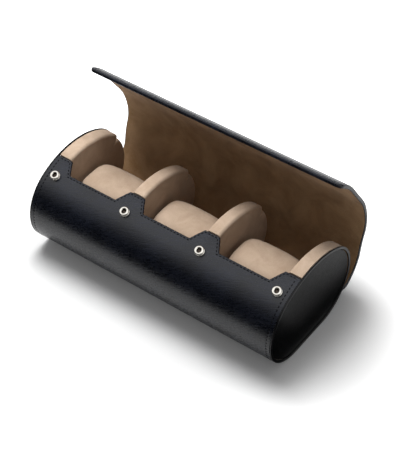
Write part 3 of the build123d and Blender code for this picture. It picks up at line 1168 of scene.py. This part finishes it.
@dataclass
class CaseEnds:
    """Rolled rim and leather panel at both ends of the roll."""

    finishes: Finishes
    around: int = 180
    section: int = 28
    square: float = 0.55
    recess: float = 0.6
    drawn_in: float = 0.1
    panel: float = 0.9
    gap: float = 0.4
    panel_round: float = 0.6
    crown: float = 0.15
    middle_z: float = 38.0

    def rim(self, side: int) -> Surface:
        """Rim: a rounded rectangle, drawn in softly, carried round the outline."""
        s = np.linspace(0.0, OUTLINE.girth, self.around, endpoint=False)
        angle = np.linspace(0.0, FULL_TURN, self.section, endpoint=False)
        across, out = squared_circle(angle, self.square)
        x = WALL.wrap_half + WALL.rim_width / 2 * (1 + across)
        offset = WALL.rim_depth / 2 * (out - 1) - self.drawn_in
        return hoop(on_case(*np.broadcast_arrays(x * side, s[:, None], offset)))

    def disc(self, side: int) -> Surface:
        """Panel: rings of the outline scaled about the middle, rounded at the edge and
        crowned by a share (1 - f^2) of the crown height, f from the middle to the edge."""
        s = np.linspace(0.0, OUTLINE.girth, self.around, endpoint=False)
        edge = -WALL.rim_depth - self.gap
        low = WALL.half - self.recess - self.panel
        top = low + self.panel - self.crown
        rows = [
            (top + self.crown * (1 - share**2), edge - self.panel_round, share)
            for share in (0.05, 0.15, 0.3, 0.5, 0.7, 0.85, 0.95)
        ]
        for angle in np.radians(np.linspace(90, 0, 8)):
            offset = edge - self.panel_round * (1 - math.cos(angle))
            rows.append((top - self.panel_round * (1 - math.sin(angle)), offset, 1.0))
        rows += [(low, edge, 1.0), (low, edge - self.panel_round, 0.5)]
        rows = [(x * side, offset, share) for x, offset, share in rows]
        return ringed(scaled_rings(s, rows, self.middle_z))

    def build(self) -> list[bpy.types.Object]:
        """Make both ends; they ride on the case."""
        pieces = []
        looks = self.finishes
        for name, side in (("left", -1), ("right", 1)):
            rim = make_piece(f"rolled_rim_{name}", self.rim(side), looks.rim)
            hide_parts(f"end_rim_{name}")
            surface = self.disc(side)
            disc = make_piece(f"leather_panel_{name}", surface, looks.panel)
            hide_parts(f"end_panel_{name}")
            pieces += [rim, disc]
        return [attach(piece, "case") for piece in pieces]


@dataclass
class Dividers:
    """Suede pads at both ends and between the bays, padded and rounded on top."""

    finishes: Finishes
    thickness: float = 12.4
    end_pad: float = 12.4
    round_radius: float = 2.6
    gap: float = 0.2
    back_step: float = -49.0
    step_depth: float = 2.3
    notch_span: float = 4.6
    notch_depth: float = 7.4
    notch_lip: float = 1.6
    notch_foot: float = 0.2
    crown_drop: float = 0.4
    hinge_gap: float = 0.6
    hinge_rise: float = 1.5
    plain_round: float = 0.6
    bulge: float = 0.45
    middle_z: float = 36.0
    slack: float = 0.05
    crown_fall: float = 0.8

    def contour(self) -> tuple[Array, Array]:
        """Distances s round a pad and the offset of its edge there: inside the lining,
        flush with the leather between the tabs and a V-shaped notch at the back, and a
        little lower from there to the hinge."""
        girth = OUTLINE.girth
        crown_end = WALL.tab_top - self.gap
        hinge = WALL.hinge_line + self.hinge_gap
        step, far = self.back_step, self.back_step - self.notch_span
        fine = [np.linspace(centre - 2.5, centre + 2.5, 12) for centre in (crown_end, hinge)]
        fine.append(np.linspace(far - 2, step + 2.5, 30))
        plain = np.linspace(hinge + 3, hinge + 3 + girth, 150, endpoint=False)
        s = np.unique(np.round(np.mod(np.concatenate([plain] + fine), girth), 3))
        near = np.where(s > girth / 2, s - girth, s)
        inside, flush = WALL.inside - self.gap, -self.crown_drop
        crown = 1 - smooth(crown_end - self.crown_fall, crown_end, near)
        offset = inside + (flush - inside) * crown
        foot = step - self.notch_foot
        fall = smooth(step + self.notch_lip, foot, near) * self.notch_depth
        climb = np.clip((foot - near) / (foot - far), 0.0, 1.0)
        climb = climb * (self.notch_depth - self.step_depth)
        notch = np.where(near < far, self.step_depth, fall - climb)
        offset = np.where(near < 0, flush - notch, offset)
        over_hinge = hinge + self.hinge_rise
        low = inside + (-self.step_depth - inside) * smooth(hinge, over_hinge, near)
        return s, np.where(near < over_hinge, low, offset) - self.slack

    def side_rings(self, x: float, side: int, radius: float) -> list[tuple[float, float, float]]:
        """Rings from the middle of a face, which is a dome of the bulge times (1 - f^2),
        out to its rounded edge.

        Args:
            x: Place of the face's middle.
            side: -1 for the face at the lower x, 1 for the other.
            radius: Radius of the edge.

        Returns:
            X, fall below the contour and scale of each ring.
        """
        shares = (0.04, 0.12, 0.25, 0.4, 0.55, 0.7, 0.82, 0.9, 0.95, 0.98)
        rings = [(x - side * self.bulge * share**2, radius, share) for share in shares]
        for angle in np.radians(np.linspace(0, 90, 9)):
            inward = self.bulge + radius * (1 - math.cos(angle))
            rings.append((x - side * inward, radius * (1 - math.sin(angle)), 1.0))
        return rings

    def pad(self, low: float, high: float, rounded: tuple[bool, bool]) -> Surface:
        """Pad between two x: rings from the middle of one face, over its rounded top
        and to the middle of the other.

        Args:
            low: Lower x.
            high: Higher x.
            rounded: Whether the edges at the lower and the higher x are rounded.

        Returns:
            The closed surface.
        """
        s, offset = self.contour()
        radii = [self.round_radius if flag else self.plain_round for flag in rounded]
        first = self.side_rings(low, -1, radii[0])
        last = self.side_rings(high, 1, radii[1])
        start, end = first[-1][0], last[-1][0]
        top = [(start + (end - start) * share, 0.0, 1.0) for share in (0.25, 0.5, 0.75)]
        rows = [(x, offset - fall, share) for x, fall, share in first + top + last[::-1]]
        return ringed(scaled_rings(s, rows, self.middle_z))

    def build(self) -> list[bpy.types.Object]:
        """Make the four pads; they ride on the case."""
        bay_end = WALL.wrap_half - self.end_pad
        low = WALL.divider_centre - self.thickness / 2
        high = WALL.divider_centre + self.thickness / 2
        rows = [
            ("end_pad_left", -WALL.wrap_half, -bay_end, (False, True)),
            ("divider_left", -high, -low, (True, True)),
            ("divider_right", low, high, (True, True)),
            ("end_pad_right", bay_end, WALL.wrap_half, (True, False)),
        ]
        pieces = []
        for name, first, last, rounded in rows:
            surface = self.pad(first, last, rounded)
            piece = make_piece(f"{name}_suede", surface, self.finishes.pad)
            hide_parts(f"{name}_cover")
            pieces.append(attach(piece, "case"))
        return pieces


@dataclass
class Cushions:
    """Three lift-out cushions of suede over foam, sewn round both end faces."""

    finishes: Finishes
    names: tuple[str, ...] = ("left", "middle", "right")
    seam: float = 0.3
    fullness: float = 3.2
    around: int = 96

    def form(self, low: Vector, high: Vector) -> Surface:
        """Cushion that fills a box: rings of a superellipse |y/a|^p + |z/b|^p = 1, where
        p is the fullness, widest in the middle and rounded into ends with a sewn edge.

        Args:
            low: Lowest corner of the box, in millimetres.
            high: Highest corner.

        Returns:
            The closed surface.
        """
        angle = np.linspace(0.0, FULL_TURN, self.around, endpoint=False)
        unit_y, unit_z = squared_circle(angle, 2.0 / self.fullness)
        centre, half = (low + high) / 2, (high - low) / 2
        along = (1.0, 0.998, 0.99, 0.975, 0.955, 0.935, 0.92, 0.9, 0.875, 0.85, 0.8, 0.7)
        along += (0.55, 0.35, 0.15)
        shares = (0.06, 0.2, 0.4, 0.6, 0.745, 0.822, 0.855, 0.87, 0.886, 0.906, 0.932, 0.96)
        shares += (0.98, 0.993, 0.999)
        rows = list(zip(along, shares))
        rings = [(-place, share) for place, share in rows] + [(0.0, 1.0)] + rows[::-1]
        points = []
        for along, share in rings:
            pinch = self.seam * float(groove(np.array(abs(along)), 0.9, 0.012))
            x = np.full(angle.shape, centre.x + half.x * along)
            y = centre.y + (half.y * share - pinch) * unit_y
            z = centre.z + (half.z * share - pinch) * unit_z
            points.append(np.stack([x, y, z], -1))
        return ringed(np.array(points))

    def build(self) -> list[bpy.types.Object]:
        """Make the cushions; each rides on its own body."""
        pieces = []
        for name in self.names:
            low, high = (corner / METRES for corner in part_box(f"cushion_cover_{name}"))
            surface = self.form(low, high)
            piece = make_piece(f"cushion_suede_{name}", surface, self.finishes.pad)
            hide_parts(f"cushion_cover_{name}")
            pieces.append(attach(piece, f"cushion_{name}"))
        return pieces


# ---------------------------------------------------------------- the lid


@dataclass
class LidWrap:
    """Lid of leather, board and suede in three sheets, each across one fold."""

    finishes: Finishes
    names: tuple[str, ...] = ("rear", "middle", "front")
    spans: tuple[tuple[float, float], ...] = ((-112.0, -93.0), (-93.0, -34.7), (-34.7, 41.0))
    nose_radius: float = 1.2
    cell: float = 1.6
    side_zone: float = 17.0
    stitch_inset: float = 3.0
    seat_radius: float = 5.5
    seat_top: float = 3.5
    waves: float = 0.05
    rise: tuple[float, float] = (-110.0, -101.0)
    core_rise: tuple[float, float] = (-109.0, -102.0)
    widening: tuple[float, float] = (-103.5, -97.0)
    wavy_from: float = -100.0
    first_stitch: float = -97.0
    thinnest: float = 0.05
    lining_round: float = 0.5
    board_gap: float = 0.1

    def widened(self, x: Array, s: Array, inset: float) -> Array:
        """X of the rear sheet, which starts between the rims and widens over them."""
        reach = WALL.rim_width - inset
        half = WALL.wrap_half + reach * smooth(*self.widening, s)
        return x * half / (WALL.half - inset)

    def grid(self, index: int, inset: float, steps: Sequence[float]) -> tuple[Array, Array, Array]:
        """Grid of one sheet, drawn in from the lid's edges by an inset. The front sheet
        has rounded corners: within the corner radius r of the free edge its half width
        is half - r + sqrt(r^2 - d^2), and the columns near the ends follow it.

        Args:
            index: Number of the sheet, from the hinge.
            inset: How far the piece is drawn in from the lid's edges.
            steps: Distances in from the edge that need a grid line.

        Returns:
            Grids of x, s and distance from the nearest free edge.
        """
        low, high = self.spans[index]
        free = index == len(self.spans) - 1
        half, corner = WALL.half - inset, LID.corner - inset
        if free:
            edge = high - inset
            curve = edge - corner + corner * np.sin(np.radians(np.linspace(0, 90, 16)))
            near = [edge - step for step in steps]
            plain = np.arange(low, edge - corner, self.cell)
            s_rows = np.unique(np.round(np.concatenate([plain, curve, near]), 4))
        else:
            s_rows = np.linspace(low, high, max(int((high - low) / self.cell), 12))
        inner = np.linspace(0.0, half - max(steps) - 0.5, int(half / self.cell))
        right = np.unique(np.round(np.concatenate([inner, half - np.array(steps)]), 4))
        columns = np.concatenate([-right[:0:-1], right])
        s, x = np.meshgrid(s_rows, columns, indexing="ij")
        past = np.clip(s - (high - inset - corner), 0.0, corner) if free else np.zeros_like(s)
        row_half = half - corner + np.sqrt(np.maximum(corner**2 - past**2, 0.0))
        start = half - self.side_zone
        outer = np.abs(x) > start
        squeezed = start + (np.abs(x) - start) * (row_half - start) / self.side_zone
        x = np.where(outer, np.sign(x) * squeezed, x)
        depth = half - np.abs(x)
        if free:
            below = high - inset - s
            rounded = corner - np.hypot(corner - depth, corner - below)
            in_corner = (depth < corner) & (below < corner)
            depth = np.where(in_corner, rounded, np.minimum(depth, below))
        return x, s, np.maximum(depth, 0.0)

    def leather_sheet(self, index: int) -> Surface:
        """Leather of one sheet, turned over the ends and the free edge. Past the hinge
        it rises from the case's leather to the lid's outside."""
        steps = edge_steps(self.nose_radius, self.stitch_inset)
        steps = sorted(steps + [LID.edge - 0.03, LID.edge + 0.03])
        x, s, depth = self.grid(index, 0.0, steps)
        rise, calm = np.ones(x.shape), smooth(0.0, CALM_EDGE, depth)
        if index == 0:
            rise = smooth(*self.rise, s)
            calm = calm * smooth(self.spans[0][0], self.wavy_from, s)
            x = self.widened(x, s, 0.0)
        middle = -WALL.leather + (LID.backed + WALL.leather) * rise
        edge = -WALL.leather + (LID.inside + WALL.leather) * rise
        outer = LID.outside * rise + (bump_waves(x, s, self.waves) - self.waves) * calm
        outer = outer - nose(depth, self.nose_radius)
        outer = outer - GROOVE_DEPTH * groove(depth, self.stitch_inset, GROOVE_WIDTH)
        inner = np.where(depth < LID.edge, edge + nose(depth, self.nose_radius), middle)
        inner = np.minimum(inner, outer - self.thinnest)
        return shell(x, s, outer, inner, LID.placing(index))

    def core_sheet(self, index: int, outer: float, inner: float, soft: float) -> Surface:
        """Board or lining of one sheet, inside the turned leather.

        Args:
            index: Number of the sheet, from the hinge.
            outer: Offset of its outer face.
            inner: Offset of its inner face.
            soft: Radius of its rounded inner edge.

        Returns:
            The closed surface.
        """
        x, s, depth = self.grid(index, LID.edge, [0.0, 0.08, 0.25, 0.5, 0.8, 1.6])
        bottom = np.full(x.shape, inner)
        if index == 0:
            bottom = WALL.inside + (inner - WALL.inside) * smooth(*self.core_rise, s)
            x = self.widened(x, s, LID.edge)
        top = bottom + outer - inner
        return shell(x, s, top, bottom + nose(depth, soft), LID.placing(index))

    def seats(self, index: int) -> Surface:
        """Round seats of the snap sockets, one over each stud."""
        low, top, radius = -1.0, self.seat_top, self.seat_radius
        profile = [(AXIS_GAP, low), (radius, low), (radius, top), (AXIS_GAP, top)]
        x, s, offset = np.moveaxis(turned_body(profile, 40), -1, 0)
        s = s + WALL.stud_line
        place = LID.placing(index)
        return joined([ringed(place(x + stud, s, offset)) for stud in WALL.stud_places])

    def sewing(self, index: int) -> Surface:
        """Stitches along both ends of a sheet, and along the free edge of the front."""
        low, high = self.spans[index]
        place = LID.placing(index)
        x = WALL.half - self.stitch_inset
        top = LID.outside - GROOVE_DEPTH
        if index < len(self.spans) - 1:
            first = low if index else self.first_stitch
            lines = [[(-x, first), (-x, high)], [(x, first), (x, high)]]
            return joined([STITCHES.along(line, top, place) for line in lines])
        radius = LID.corner - self.stitch_inset
        right = arc_points((x - radius, high - LID.corner), radius, 0, 90, 7)
        line = [(x, low)] + right + [(-a, b) for a, b in reversed(right)] + [(-x, low)]
        return STITCHES.along(line, top, place)

    def build(self) -> list[bpy.types.Object]:
        """Make the sheets, each shaped across its fold at rest. The narrow rear sheet has no
        board of its own, and the front ones get the seats of the sockets."""
        pieces = []
        looks = self.finishes
        for index, name in enumerate(self.names):
            surface = self.leather_sheet(index)
            leather = make_piece(f"lid_wrap_{name}", surface, looks.wrap)
            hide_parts(f"lid_leather_{name}")
            surface = self.core_sheet(index, LID.lined, LID.inside, self.lining_round)
            lining = make_piece(f"lid_suede_{name}", surface, looks.lining)
            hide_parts(f"lid_lining_{name}")
            sheets = [leather, lining]
            if index:
                gap = self.board_gap
                surface = self.core_sheet(index, LID.backed - gap, LID.lined, gap)
                board = make_piece(f"lid_stiffener_{name}", surface, looks.board)
                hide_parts(f"lid_board_{name}")
                sheets.append(board)
            else:
                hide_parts(f"lid_board_{name}")
            if index == len(self.names) - 1:
                for sheet in sheets:
                    cut(sheet, self.seats(index))
            thread = self.sewing(index)
            sheets.append(
                make_piece(f"lid_stitching_{name}", thread, looks.wall_thread)
            )
            for sheet in sheets:
                LID.blend(sheet, index)
            pieces += sheets
        return pieces


@dataclass
class Snaps:
    """Polished ring studs on the tabs; their sockets in the lid are the frame's own nodes."""

    finishes: Finishes
    radius: float = 3.9
    height: float = 3.0
    bore: float = 1.75
    ring: float = 0.95
    sides: int = 40
    sharp: float = math.radians(60.0)

    def stud_profile(self) -> list[tuple[float, float]]:
        """Radius and height round a stud: flange, waist, rolled ring and cupped bore."""
        r, bore, ring = self.radius, self.bore, self.ring
        profile = [(AXIS_GAP, -0.2), (r, -0.2), (r, 0.25)]
        profile += arc_points((r - 0.25, 0.35), 0.25, 0, 90, 4)
        profile += [(r - 0.9, 0.75), (r - 1.15, 1.1)]
        profile += [
            ((r + bore) / 2 + (r - bore) / 2 * math.cos(a), self.height - ring + ring * math.sin(a))
            for a in np.radians(np.linspace(-38, 180, 15))
        ]
        cup = [(bore - 0.05, 1.3), (bore - 0.35, 0.8), (bore - 0.9, 0.62), (AXIS_GAP, 0.6)]
        return profile + cup

    @cached_property
    def seat(self) -> tuple[Array, Array]:
        """Point of the wall under a stud at x 0, and the wall's normal there."""
        line = np.array(WALL.stud_line)
        y, z = OUTLINE.place(line, 0.0)
        facing = float(OUTLINE.facing(line))
        return np.array([0.0, y, z]), np.array([0.0, math.cos(facing), math.sin(facing)])

    def on_wall(self, rings: Array, x: float) -> Array:
        """Rings of a small part carried to a stud's place on the wall."""
        origin, normal = self.seat
        side = np.array([1.0, 0.0, 0.0])
        up = np.cross(normal, side)
        flat = rings[..., :1] * side + rings[..., 1:2] * up
        return origin + x * side + flat + rings[..., 2:] * normal

    def build(self) -> list[bpy.types.Object]:
        """Make the four studs; they ride on the case."""
        rings = turned_body(self.stud_profile(), self.sides)
        parts = [ringed(self.on_wall(rings, x)) for x in WALL.stud_places]
        metal = self.finishes.metal
        piece = make_piece("ring_studs", joined(parts), metal, self.sharp)
        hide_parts("snap_studs")
        # faces deep in each bore get the dark metal, painted shade for the hollow
        piece.data.materials.append(self.finishes.bore)
        for face in piece.data.polygons:
            face.material_index = int(self.in_painted_shade_bore(face.center / METRES))
        return [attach(piece, "case")]

    def in_painted_shade_bore(self, place: Vector) -> bool:
        """Whether a place lies in the hollow of its stud, below the ring's lip, where the dark
        metal is painted shade for the hollow.
        """
        origin, normal = self.seat
        x = min(WALL.stud_places, key=lambda stud: abs(stud - place.x))
        away = np.array(place) - origin - (x, 0.0, 0.0)
        height = float(away @ normal)
        aside = math.sqrt(max(float(away @ away) - height**2, 0.0))
        return aside < self.bore + 0.12 and 0.4 < height < self.height - 0.75


# ---------------------------------------------------------------- stage


@dataclass(frozen=True)
class Studio:
    """Camera at the photograph's angle, pale floor, soft key lamp and low even fill."""

    azimuth: float = 36.36
    elevation: float = 44.37
    target: tuple[float, float, float] = (12.23, 0.0, 51.6)
    distance: float = 1084.6
    focal_pixels: float = 1394.0
    long_side: float = 466.0
    sensor: float = 36.0
    floor_glow: float = 0.04
    card_glow: float = 1.35
    card_heights: tuple[float, float] = (0.45, 2.2)
    clearing: tuple[float, float, float] = (4.6, 7.0, 0.0)
    fading: tuple[float, float] = (0.6, 1.25)
    fill: float = 0.25
    key_place: tuple[float, float, float] = (-0.2, 0.14, 0.75)
    key_aim: tuple[float, float, float] = (0.0, 0.0, 0.04)
    key_size: float = 0.5
    key_power: float = 7.6

    def camera(self) -> None:
        """Place the camera on the line from the target at the two angles."""
        a, e = math.radians(self.azimuth), math.radians(self.elevation)
        back = Vector((math.sin(a) * math.cos(e), -math.cos(a) * math.cos(e), math.sin(e)))
        data = bpy.data.cameras.new("camera")
        data.sensor_width = self.sensor
        data.lens = self.focal_pixels / self.long_side * self.sensor
        data.clip_start, data.clip_end = 0.05, 20.0
        camera = linked("camera", data)
        camera.location = (Vector(self.target) + back * self.distance) * METRES
        camera.rotation_euler = back.to_track_quat("Z", "Y").to_euler()
        bpy.context.scene.camera = camera

    def lamp(self) -> None:
        """Soft square key lamp, in metres and watts, that leaves no highlight."""
        data = bpy.data.lights.new("key", "AREA")
        data.shape, data.size, data.energy = "SQUARE", self.key_size, self.key_power
        lamp = linked("key", data)
        back = Vector(self.key_place) - Vector(self.key_aim)
        lamp.location = self.key_place
        lamp.rotation_euler = back.to_track_quat("Z", "Y").to_euler()
        lamp.visible_glossy = False

    def cards(self) -> None:
        """Cards in front of and behind the case, black below and glowing above, and black
        ones on the floor at its right end, in metres. Only reflections see them: they are
        painted reflections, the dark bands and the bright sheen across the polished leather
        and the shaded floor in the end panels, and they light or shade nothing."""
        sheets = (
            ((-3.0, -0.15, 0.002), (2.0, -0.15, 0.002), (2.0, -1.2, 0.5), (-3.0, -1.2, 0.5)),
            ((-3.0, -1.2, 0.5), (2.0, -1.2, 0.5), (2.0, -1.2, 2.5), (-3.0, -1.2, 2.5)),
            ((-3.0, -1.2, 2.5), (2.0, -1.2, 2.5), (2.0, 0.2, 2.9), (-3.0, 0.2, 2.9)),
            ((-3.0, 1.5, 0.0), (3.0, 1.5, 0.0), (3.0, 1.5, 1.2), (-3.0, 1.5, 1.2)),
            ((0.119, -0.1, 0.002), (0.134, -0.1, 0.002), (0.134, 0.3, 0.002), (0.119, 0.3, 0.002)),
            ((0.134, -0.1, 0.002), (0.4, -0.1, 0.002), (0.4, 0.0, 0.002), (0.134, 0.0, 0.002)),
        )
        corners = [corner for sheet in sheets for corner in sheet]
        faces = [tuple(range(4 * k, 4 * k + 4)) for k in range(len(sheets))]
        mesh = bpy.data.meshes.new("black_cards")
        mesh.from_pydata(corners, [], faces)
        n = Nodes(bpy.data.materials.new("black_cards"))
        height = n.add("SeparateXYZ", Vector=n.add("TexCoord").outputs["Object"]).outputs[2]
        # painted reflections: black, with a glow that rises with height, seen only in glossy rays
        finish = n.finish(
            Base_Color=(0.001, 0.001, 0.001, 1.0),
            Roughness=1.0,
            Specular_IOR_Level=0.0,
            Emission_Color=WHITE,
            Emission_Strength=n.ramp(height, *self.card_heights, 0.0, self.card_glow),
        )
        mesh.materials.append(finish)
        cards = linked("black_cards", mesh)
        for ray in ("camera", "diffuse", "transmission", "volume_scatter", "shadow"):
            setattr(cards, f"visible_{ray}", False)

    def world(self) -> None:
        """White to the camera and in reflections, and a low even light otherwise."""
        world = bpy.data.worlds.new("studio")
        bpy.context.scene.world = world
        n = Nodes(world)
        path = n.add("LightPath")
        seen = path.outputs["Is Camera Ray"]
        for ray in ("Is Glossy Ray", "Is Transmission Ray"):
            seen = n.add("Math", {"operation": "MAXIMUM"}, i0=seen, i1=path.outputs[ray]).outputs[0]
        strength = n.ramp(seen, 0.0, 1.0, self.fill)
        background = n.add("Background", Color=WHITE, Strength=strength)
        n.add("OutputWorld", Surface=background.outputs[0])

    def floor(self) -> None:
        """Pale floor at the base, a wide square. To the camera it glows white away from
        the case, and hardly at all round it, where it keeps the shadow."""
        side = 6.0
        corners = [(-side, -side, 0.0), (side, -side, 0.0), (side, side, 0.0), (-side, side, 0.0)]
        mesh = bpy.data.meshes.new("floor")
        mesh.from_pydata(corners, [], [(0, 1, 2, 3)])
        n = Nodes(bpy.data.materials.new("floor"))
        seen = n.add("LightPath").outputs["Is Camera Ray"]
        place = n.add("TexCoord").outputs["Object"]
        place = n.add("Mapping", Vector=place, Scale=self.clearing).outputs[0]
        away = n.add("VectorMath", {"operation": "LENGTH"}, i0=place).outputs["Value"]
        glow = n.ramp(away, *self.fading, self.floor_glow, 1.0, "SMOOTHSTEP")
        strength = n.add("Math", {"operation": "MULTIPLY"}, i0=seen, i1=glow)
        finish = n.finish(
            Base_Color=(0.9, 0.9, 0.9, 1.0),
            Roughness=0.85,
            Specular_IOR_Level=0.1,
            Emission_Color=WHITE,
            Emission_Strength=strength.outputs[0],
        )
        mesh.materials.append(finish)
        floor = linked("floor", mesh)

    def build(self) -> None:
        """Set up the whole studio."""
        self.camera()
        self.floor()
        self.cards()
        self.world()
        self.lamp()
        bpy.context.scene.view_settings.view_transform = "Standard"


def dress_nodes(finishes: Finishes) -> None:
    """Give the carried-over CAD nodes their finishes."""
    looks = dict.fromkeys(("stud_rivets", "snap_sockets"), finishes.metal)
    looks |= dict.fromkeys(("case_board", "end_board_left", "end_board_right"), finishes.board)
    for name, node in frame["nodes"].items():
        if "_core" in name:
            looks[name] = finishes.foam
        if name in looks:
            node.data.materials.clear()
            node.data.materials.append(looks[name])


def main() -> None:
    """Build every part of the case, then the studio round it."""
    logging.basicConfig(level=logging.INFO, format="%(name)s: %(message)s")
    finishes = Finishes()
    for maker in (CaseWrap, CaseEnds, Dividers, Cushions, LidWrap, Snaps):
        pieces = maker(finishes).build()
        LOG.info("%s: %d pieces", maker.__name__, len(pieces))
    dress_nodes(finishes)
    Studio().build()


if __name__ == "__main__":
    main()
